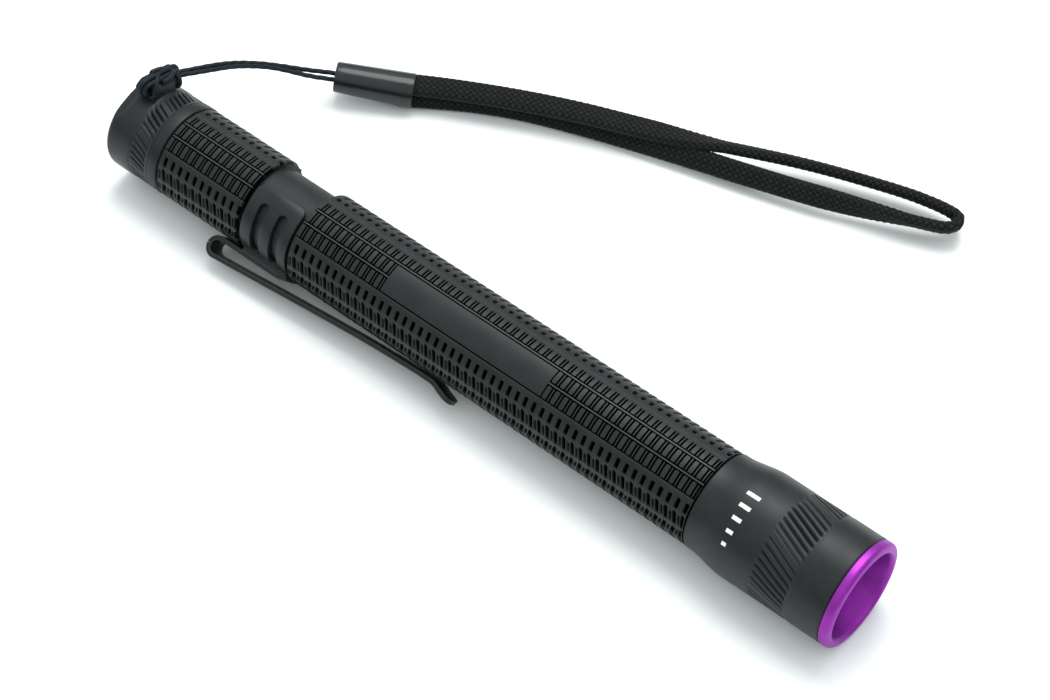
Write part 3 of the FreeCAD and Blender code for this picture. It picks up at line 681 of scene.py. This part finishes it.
def rounded_rectangle(x_low, x_high, y_low, y_high, corner, steps=6):
    """The outline of a rounded rectangle, from its corner that is high both ways and on to the left."""
    corners = (x_high, y_high, 0), (x_low, y_high, 90), (x_low, y_low, 180), (x_high, y_low, 270)
    points = []
    for cx, cy, first in corners:
        cx += -corner if cx == x_high else corner
        cy += -corner if cy == y_high else corner
        for turn in np.radians(np.linspace(first, first + 90, steps)):
            points.append((cx + corner * math.cos(turn), cy + corner * math.sin(turn)))
    return points


def finish_plate(name, mesh, build, place):
    """Close the plate's mesh once each of its points has been put where place says."""
    for vertex in build.verts:
        vertex.co = place(vertex.co)
    bmesh.ops.recalc_face_normals(build, faces=build.faces)
    build.to_mesh(mesh)
    build.free()
    mesh.shade_smooth()
    mesh.set_sharp_from_angle(angle=math.radians(35))
    mesh.materials.clear()
    return new_object(name, mesh)


def lug():
    """The lanyard lug: a block with a rounded top and a hole across the pen."""
    start, end, root, top = 1.4, 5.0, 7.3, 10.2
    hole_radius, hole_height, width = 0.85, 8.7, 5.2
    hole = (np.array([LUG_STATION, hole_height]) + hole_radius * circle(24)).tolist()
    rounded_top = rounded_rectangle(start, end, root, top, 1.1)[11::-1]
    edge = [(start, root), *rounded_top, (end, root)]
    mesh, build = plate("lug", [edge, hole], width, 0.2)
    up = Vector((0, math.cos(LUG_ANGLE), math.sin(LUG_ANGLE)))
    side = Vector((0, math.sin(LUG_ANGLE), -math.cos(LUG_ANGLE)))
    tail = Vector((TAIL_X, AXIS.y, AXIS.z))

    def place(co):
        return tail + (Vector((co.x, 0, 0)) + up * co.y + side * co.z) * MM

    return finish_plate("lanyard_lug", mesh, build, place)


CLIP_MIDDLE = 7.4      # radius of the band's middle surface
CLIP_THICKNESS = 0.8


def clip_band():
    """The slotted band that grips the barrel's groove."""
    half = math.radians(116) * CLIP_MIDDLE
    near, far = math.radians(20) * CLIP_MIDDLE, math.radians(96) * CLIP_MIDDLE
    outlines = [rounded_rectangle(29.7, 39.4, -half, half, 1.4)]
    for station in (31.9, 35.8):
        for low, high in ((near, far), (-far, -near)):
            outlines.append(rounded_rectangle(station, station + 1.7, low, high, 0.84)[::-1])
    mesh, build = plate("band", outlines, CLIP_THICKNESS, 0.12)
    for cut in np.arange(-half + 0.4, half, 0.4):
        everything = build.verts[:] + build.edges[:] + build.faces[:]
        bmesh.ops.bisect_plane(build, geom=everything, plane_co=(0, cut, 0), plane_no=(0, 1, 0))

    def place(co):
        return Vector(pen_points(co.x, CLIP_MIDDLE + co.z, CLIP_ANGLE + co.y / CLIP_MIDDLE).tolist())

    return finish_plate("clip_band", mesh, build, place)


def smooth_route(points, samples):
    """A NURBS curve with those control points, read back as points."""
    curve = bpy.data.curves.new("route", "CURVE")
    curve.dimensions = "3D"
    curve.resolution_u = samples
    spline = curve.splines.new("NURBS")
    spline.points.add(len(points) - 1)
    for point, co in zip(spline.points, points):
        point.co = (*co, 1)
    spline.order_u = 3
    spline.use_endpoint_u = True
    holder = bpy.data.objects.new("route", curve)
    mesh = bpy.data.meshes.new_from_object(holder)
    line = np.array([v.co for v in mesh.vertices])
    bpy.data.curves.remove(curve)
    bpy.data.meshes.remove(mesh)
    return line


def clip_strip(name, line, end_rounding=0.0):
    """A length of the clip's strip along a line of stations and heights above the axis."""
    width, half_thickness = 4.2, CLIP_THICKNESS / 2
    line = np.array(line)
    heading = headings(line)
    normal = np.stack([-heading[:, 1], heading[:, 0]], axis=1)
    section = np.array(rounded_rectangle(-width / 2, width / 2, -half_thickness, half_thickness, 0.14, 3))
    share = np.ones(len(line))
    if end_rounding:
        steps = np.linalg.norm(np.diff(line, axis=0), axis=1)
        to_end = np.append(steps[::-1].cumsum()[::-1], 0)
        near = np.clip(to_end / end_rounding, 0, 1)
        share = (width / 2 - end_rounding + end_rounding * np.sqrt(1 - (1 - near) ** 2)) / (width / 2)
    across = section[None, :, 0] * share[:, None]
    stations = line[:, None, 0] + normal[:, None, 0] * section[None, :, 1]
    heights = line[:, None, 1] + normal[:, None, 1] * section[None, :, 1]
    radii, angles = np.hypot(heights, across), CLIP_ANGLE + np.arctan2(across, heights)
    piece = mesh_piece(name, pen_points(stations, radii, angles), tube_faces(*stations.shape), 35)
    # The section's corner points lighten the strip's edges: painted edge highlight, with some wear.
    corner = np.arange(len(section)) % 3 == 1
    set_wear_and_painted_light(piece, np.broadcast_to(corner * 0.9, stations.shape))
    return piece


def build_clip():
    """The pocket clip: band, leg, loop and arm. The loop's middle is where the arm flexes."""
    leg_height, arm_height, seam = 8.55, 11.6, 0.04
    middle, size = (leg_height + arm_height) / 2, (arm_height - leg_height) / 2
    loop_end = 24.0
    loop = loop_end + size
    turns = np.linspace(0, math.pi / 2, 9)
    lower = [(loop - size * math.sin(t), middle - size * math.cos(t)) for t in turns]
    upper = [(station, 2 * middle - height) for station, height in lower[::-1]]
    lower[-1], upper[0] = (loop_end, middle - seam), (loop_end, middle + seam)
    leg = [(39.3, 8.0), (38.7, 8.28), (38.0, 8.47)] + [(s, leg_height) for s in (37.2, 35.0, 32.0, 28.0)]
    route = [(loop, arm_height), (33.0, 11.0), (45.0, 10.03), (57.0, 9.12), (69.0, 8.66), (70.9, 8.8),
             (71.9, 9.3), (74.3, 10.0)]
    arm = smooth_route([(*place, 0) for place in route], 10)[1:, :2].tolist()
    root = [(s, 7.85) for s in np.linspace(38.9, 29.9, 6)]
    for piece, body, node in (
            (clip_band(), "clip", "clip_clamp"),
            (clip_strip("clip_leg", leg + lower), "clip", "clip_clamp"),
            (clip_strip("clip_long_arm", upper + arm, 1.2), "clip_arm", "clip_arm"),
            (clip_strip("clip_leg_root", root), "clip", "clip_clamp")):
        finished(piece, CLIP_STEEL, body, node)


# -------- lanyard

UPPER_THREAD = [
    (-0.0696, 0.0069, 0.0173),
    (-0.0673, 0.0123, 0.0161),
    (-0.0666, 0.0169, 0.0136),
    (-0.0653, 0.0210, 0.0111),
    (-0.0636, 0.0244, 0.0089),
    (-0.0606, 0.0283, 0.0066),
    (-0.0579, 0.0318, 0.0049),
    (-0.0548, 0.0339, 0.0043),
]
LOWER_THREAD = [
    (-0.0687, 0.0069, 0.0173),
    (-0.0665, 0.0120, 0.0159),
    (-0.0659, 0.0166, 0.0135),
    (-0.0647, 0.0207, 0.0110),
    (-0.0630, 0.0240, 0.0089),
    (-0.0597, 0.0274, 0.0065),
    (-0.0570, 0.0307, 0.0048),
    (-0.0539, 0.0328, 0.0041),
]
STRAP = [
    (-0.0484, 0.0372, 0.0044),
    (-0.0443, 0.0398, 0.0044),
    (-0.0376, 0.0432, 0.0047),
    (-0.0300, 0.0470, 0.0048),
    (-0.0208, 0.0513, 0.0047),
    (-0.0113, 0.0550, 0.0046),
    (-0.0018, 0.0588, 0.0044),
    (0.0054, 0.0624, 0.0042),
    (0.0160, 0.0674, 0.0038),
    (0.0302, 0.0723, 0.0035),
    (0.0353, 0.0734, 0.0035),
    (0.0388, 0.0738, 0.0035),
    (0.0405, 0.0734, 0.0035),
    (0.0412, 0.0719, 0.0035),
    (0.0403, 0.0704, 0.0035),
    (0.0380, 0.0694, 0.0034),
    (0.0289, 0.0659, 0.0033),
    (0.0195, 0.0626, 0.0032),
    (0.0094, 0.0596, 0.0030),
    (-0.0004, 0.0570, 0.0027),
    (-0.0109, 0.0542, 0.0022),
    (-0.0209, 0.0512, 0.0019),
    (-0.0309, 0.0474, 0.0019),
    (-0.0388, 0.0431, 0.0019),
    (-0.0446, 0.0392, 0.0019),
    (-0.0481, 0.0368, 0.0019),
]
THREAD_WIDTH = 0.0008
STRAP_WIDTH, STRAP_THICKNESS = 0.0037, 0.0019


def evenly(line, step):
    """The same line with its points a step apart."""
    gone = np.concatenate([[0], np.cumsum(np.linalg.norm(np.diff(line, axis=0), axis=1))])
    places = np.linspace(0, gone[-1], int(gone[-1] / step) + 1)
    return np.stack([np.interp(places, gone, line[:, k]) for k in range(3)], axis=1), places


def swept_tube(name, line, across, section, relief):
    """A closed tube along a line. Across gives its width's direction, section its outline as offsets
    along and away from that direction, and relief how far each point stands out."""
    heading = headings(line)
    across = across - (across * heading).sum(1)[:, None] * heading
    across /= np.linalg.norm(across, axis=1)[:, None]
    through = np.cross(heading, across)
    outward = section / np.linalg.norm(section, axis=1)[:, None]
    offset = section[None] + outward[None] * relief[..., None]
    points = line[:, None] + across[:, None] * offset[..., :1] + through[:, None] * offset[..., 1:]
    return mesh_piece(name, points, tube_faces(*relief.shape), 60)


def strap_section(columns=60):
    """The flat braid's section: a long oval, with evenly spaced points."""
    squareness = 0.62
    oval = np.sign(circle(400)) * np.abs(circle(400)) ** squareness
    outline = np.hstack([oval * [STRAP_WIDTH / 2, STRAP_THICKNESS / 2], np.zeros((len(oval), 1))])
    closed = np.vstack([outline, outline[:1]])
    girth = np.linalg.norm(np.diff(closed, axis=0), axis=1).sum()
    return evenly(closed, girth / columns)[0][:columns, :2]


def braid(places, columns):
    """How far a plain braid's yarns stand out: diamonds where two crossing families go over and under."""
    carriers, pitch = 10, 0.0023
    first = carriers * np.arange(columns)[None, :] / columns + places[:, None] / pitch * 2
    second = carriers * np.arange(columns)[None, :] / columns - places[:, None] / pitch * 2
    over = (np.floor(first) + np.floor(second)) % 2
    return np.sqrt(np.abs(np.sin(math.pi * first) * np.sin(math.pi * second))) * (0.75 + 0.25 * over)


def strap_across(line, places):
    """The direction of the tape's width: its face up by the sleeve and in the near strand, on edge at the
    fold. The roll is given at shares of the tape's length."""
    facing = np.array([0.39, -0.47, 0.79])
    shares = [0, 0.12, 0.23, 0.29, 0.46, 0.54, 0.62, 0.8, 1]
    turns = np.radians([22, 15, 30, 78, 88, 88, 25, 15, 22])
    turn = np.interp(places / places[-1], shares, turns)[:, None]
    heading = np.gradient(line, axis=0)
    side = np.cross(heading, facing)
    side /= np.linalg.norm(side, axis=1)[:, None]
    return side * np.cos(turn) + facing * np.sin(turn)


def cord_line(points, step):
    """The cord's smooth line from its given points, and how far along it each point is."""
    return evenly(smooth_route(points, 24), step)


def build_strap():
    """The wrist strap: one flat braid, folded into a loop."""
    line, places = cord_line(STRAP, 0.00014)
    section = strap_section()
    crown = braid(places, len(section))
    strap = swept_tube("wrist_strap", line, strap_across(line, places), section, (crown - 0.6) * 0.00026)
    # The yarn crowns are lighter, as wear and painted highlight, and the hollows between the yarns are
    # darkened as painted shade.
    set_wear_and_painted_light(strap, ramp(crown, 0.6, 1.0) * 0.6, 0.7 * (1 - ramp(crown, 0.15, 0.5)))
    finished(strap, BRAID, "tail_cap", "lanyard_strap")


def build_switch_spring():
    """The return spring under the button's plunger, which shortens as the button is pressed."""
    low, high = (np.array(corner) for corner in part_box("switch_spring"))
    wire_radius, turns = 0.00015, 4
    length, width = high[0] - low[0], high[1] - low[1]
    along = np.linspace(0, 1, turns * 36 + 1)
    angles = 2 * math.pi * turns * along
    stations = (low[0] + wire_radius - TAIL_X + along * (length - 2 * wire_radius)) / MM
    line = pen_points(stations, (width / 2 - wire_radius) / MM, angles)
    section = wire_radius * circle(12)
    outward = np.stack([np.zeros_like(angles), np.cos(angles), np.sin(angles)], axis=1)
    spring = swept_tube("return_spring", line, outward, section, np.zeros((len(line), len(section))))
    finished(spring, BRIGHT_WIRE, "tail_cap", "switch_spring")
    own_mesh(spring)


def build_thread(name, points, node):
    """One strand of the thin cord, with three yarns twisted round it."""
    line, places = cord_line(points, 0.0002)
    section = THREAD_WIDTH / 2 * circle(16)
    turns = np.linspace(0, 2 * math.pi, 16, endpoint=False)
    lay_length = 0.004
    twist = np.abs(np.sin(1.5 * turns[None, :] + places[:, None] * 2 * math.pi / lay_length))
    up = np.tile([0.2, 0.1, 1.0], (len(line), 1))
    thread = swept_tube(name, line, up, section, (twist - 0.6) * 0.00007)
    # The yarns' crowns are lighter: painted highlight, with some wear.
    set_wear_and_painted_light(thread, ramp(twist, 0.7, 1.0) * 0.5)
    finished(thread, CORD_FINISH, "tail_cap", node)


def loop_round_lug(name, station, lift, reach):
    """One turn of the thin cord through the lug's hole and over its top."""
    inner, outer = 8.7, 10.65 + lift
    size = (outer - inner) / 2
    turns = np.linspace(-math.pi / 2, math.pi / 2, 13)
    right = [(reach + size * math.cos(t), (inner + outer) / 2 + size * math.sin(t)) for t in turns]
    left = [(-x, y) for x, y in right[::-1]]
    line = np.array(right + left)
    radii, angles = np.hypot(line[:, 0], line[:, 1]), LUG_ANGLE - np.arctan2(line[:, 0], line[:, 1])
    wobble = 0.08 * np.sin(3 * np.linspace(0, 2 * math.pi, len(line)) + station)
    centre = pen_points(station + wobble, radii, angles)
    heading = np.roll(centre, -1, axis=0) - np.roll(centre, 1, axis=0)
    heading /= np.linalg.norm(heading, axis=1)[:, None]
    side = np.array([1.0, 0, 0])
    away = np.cross(heading, side)
    away /= np.linalg.norm(away, axis=1)[:, None]
    section = 0.00043 * circle(14)[None]
    points = centre[:, None] + side * section[..., :1] + away[:, None] * section[..., 1:]
    faces = grid_faces(len(line), section.shape[1], close_rows=True, close_columns=True)
    return mesh_piece(name, points, faces, 60)


def knot_cord(name, places):
    """A short length of the thin cord with rounded ends, through a hitch's places."""
    radius = 0.00044
    stations, heights, turns = np.array(places).T
    points = pen_points(stations, heights, LUG_ANGLE + np.radians(turns)).tolist()
    line, _ = evenly(smooth_route(points, 12), 0.00015)
    heading = headings(line)
    first, last = line[0] - heading[0] * radius * 0.8, line[-1] + heading[-1] * radius * 0.8
    line = np.vstack([first, line, last])
    section = radius * circle(14)
    relief = np.zeros((len(line), len(section)))
    relief[[0, -1]] = -0.6 * radius
    piece = swept_tube(name, line, np.tile([1.0, 0.2, 0.1], (len(line), 1)), section, relief)
    return finished(piece, CORD_FINISH, "tail_cap", "lanyard_knot")


# Each turn through the lug as its station, how far its top is lifted, and its half width
KNOT_TURNS = [(2.35, 0.0, 2.75), (3.15, 0.42, 2.9), (3.95, 0.08, 2.8)]
# Each hitch as the places that it passes: station, height above the axis, and degrees from the lug
KNOT_HITCHES = [
    [(4.3, 8.5, -17), (5.15, 8.9, -18), (5.2, 9.8, -17.5), (4.4, 10.8, -16), (3.2, 11.3, -11),
     (2.4, 11.3, -4), (2.0, 10.9, 3)],
    [(2.2, 10.0, -18), (3.0, 11.0, -17), (4.2, 11.35, -11), (4.8, 10.7, -5), (4.6, 10.4, 2)],
    [(3.6, 9.2, -20), (3.8, 10.2, -20), (3.3, 10.9, -19), (2.6, 10.6, -20)],
    [(4.9, 9.0, 17), (4.8, 10.0, 15), (4.3, 10.9, 9), (3.4, 11.2, 3)],
]


def build_knot():
    """The thin cord, looped three times through the lug and hitched at the side where its ends leave."""
    for number, (station, lift, reach) in enumerate(KNOT_TURNS, 1):
        turn = loop_round_lug(f"knot_turn_{number}", station, lift, reach)
        finished(turn, CORD_FINISH, "tail_cap", "lanyard_knot")
    for number, places in enumerate(KNOT_HITCHES, 1):
        knot_cord(f"knot_hitch_{number}", places)


def build_sleeve():
    """The glossy ferrule: a tapered tube with rolled ends."""
    thin_end, thick_end = Vector((-0.0574, 0.0315, 0.0046)), Vector((-0.0460, 0.0385, 0.00305))
    length = (thick_end - thin_end).length
    wall, lip = 0.0005, 0.00018
    thin, thick = 0.0026, 0.0030
    outer = [(0.0, thin - lip), (lip * 0.4, thin - lip * 0.3), (lip * 1.4, thin)]
    outer += [(length * t, thin + (thick - thin) * t) for t in np.linspace(0.1, 0.9, 7)]
    outer += [(length - lip * 1.4, thick), (length - lip * 0.4, thick - lip * 0.3), (length, thick - lip)]
    outline = outer + [(length, thick - wall), (length / 2, (thin + thick) / 2 - wall), (0.0, thin - wall)]
    outline, ring = np.array(outline), circle(96)
    along = np.broadcast_to(outline[:, None, :1], (len(outline), len(ring), 1))
    local = np.concatenate([outline[:, None, 1:] * ring, along], axis=2)
    turn = np.array((thick_end - thin_end).to_track_quat("Z", "Y").to_matrix())
    points = local @ turn.T + np.array(thin_end)
    faces = grid_faces(len(outline), len(ring), close_rows=True, close_columns=True)
    sleeve = mesh_piece("sleeve", points, faces, 40)
    finished(sleeve, SLEEVE_PLASTIC, "tail_cap", "lanyard_sleeve")


# -------- floor, light and camera

def build_stage():
    """A plain white floor."""
    mesh = bpy.data.meshes.new("floor")
    half = 3.0
    corners = [(-half, -half, 0), (half, -half, 0), (half, half, 0), (-half, half, 0)]
    mesh.from_pydata(corners, [], [[0, 1, 2, 3]])
    floor = new_object("floor", mesh)
    material, _, _, shader = material_nodes("floor_paper")
    shader.inputs["Base Color"].default_value = (0.9, 0.92, 0.915, 1)
    shader.inputs["Roughness"].default_value = 0.9
    shader.inputs["Specular IOR Level"].default_value = 0.1
    mesh.materials.append(material)


def area_light(name, location, target, size, power):
    """A round white light that points at its target."""
    light = bpy.data.lights.new(name, "AREA")
    light.shape = "DISK"
    light.size = size
    light.energy = power
    lamp = bpy.data.objects.new(name, light)
    lamp.location = location
    lamp.rotation_euler = (Vector(target) - Vector(location)).to_track_quat("-Z", "Y").to_euler()
    bpy.context.scene.collection.objects.link(lamp)


def build_lights():
    """A softbox behind and above the pen, inside a white tent that is darker near the floor."""
    area_light("softbox", (-0.08, 0.21, 0.54), (0.0, 0.02, 0.0), 0.40, 2.6)
    world = bpy.data.worlds.new("tent")
    world.use_nodes = True
    nodes, links = world.node_tree.nodes, world.node_tree.links
    direction = nodes.new("ShaderNodeTexCoord")
    split = nodes.new("ShaderNodeSeparateXYZ")
    height = nodes.new("ShaderNodeMapRange")
    height.interpolation_type = "SMOOTHSTEP"
    for name, value in (("From Min", 0.05), ("From Max", 0.65), ("To Min", 0.22), ("To Max", 1.2)):
        height.inputs[name].default_value = value
    background = nodes["Background"]
    background.inputs["Color"].default_value = (0.94, 1.0, 0.995, 1)
    links.new(direction.outputs["Generated"], split.inputs["Vector"])
    links.new(split.outputs["Z"], height.inputs["Value"])
    links.new(height.outputs["Result"], background.inputs["Strength"])
    bpy.context.scene.world = world
    bpy.context.scene.view_settings.view_transform = "Standard"


def build_camera():
    """The main view: from the head's side and above, with a long lens."""
    azimuth, elevation, distance = math.radians(39.7), math.radians(52.3), 0.433
    target = Vector((0.00725, 0.00354, 0.0106))
    back = Vector((math.sin(azimuth) * math.cos(elevation), -math.cos(azimuth) * math.cos(elevation),
                   math.sin(elevation)))
    data = bpy.data.cameras.new("camera")
    data.lens = 97.0
    data.sensor_width = 36.0
    data.clip_start = 0.01
    camera = bpy.data.objects.new("camera", data)
    camera.location = target + back * distance
    camera.rotation_euler = (math.pi / 2 - elevation, 0, azimuth)
    bpy.context.scene.collection.objects.link(camera)
    bpy.context.scene.camera = camera


for node, material in NODE_FINISHES.items():
    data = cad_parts[node].data
    data.materials.clear()
    data.materials.append(material)

build_camera()
build_lights()
build_stage()
build_sleeve()
build_strap()
build_thread("thread_upper", UPPER_THREAD, "lanyard_thread_upper")
build_thread("thread_lower", LOWER_THREAD, "lanyard_thread_lower")
build_knot()
build_barrel()
build_tail_cap()
build_button()
build_switch_spring()
build_head()
build_bezel()
build_print()
build_clip()
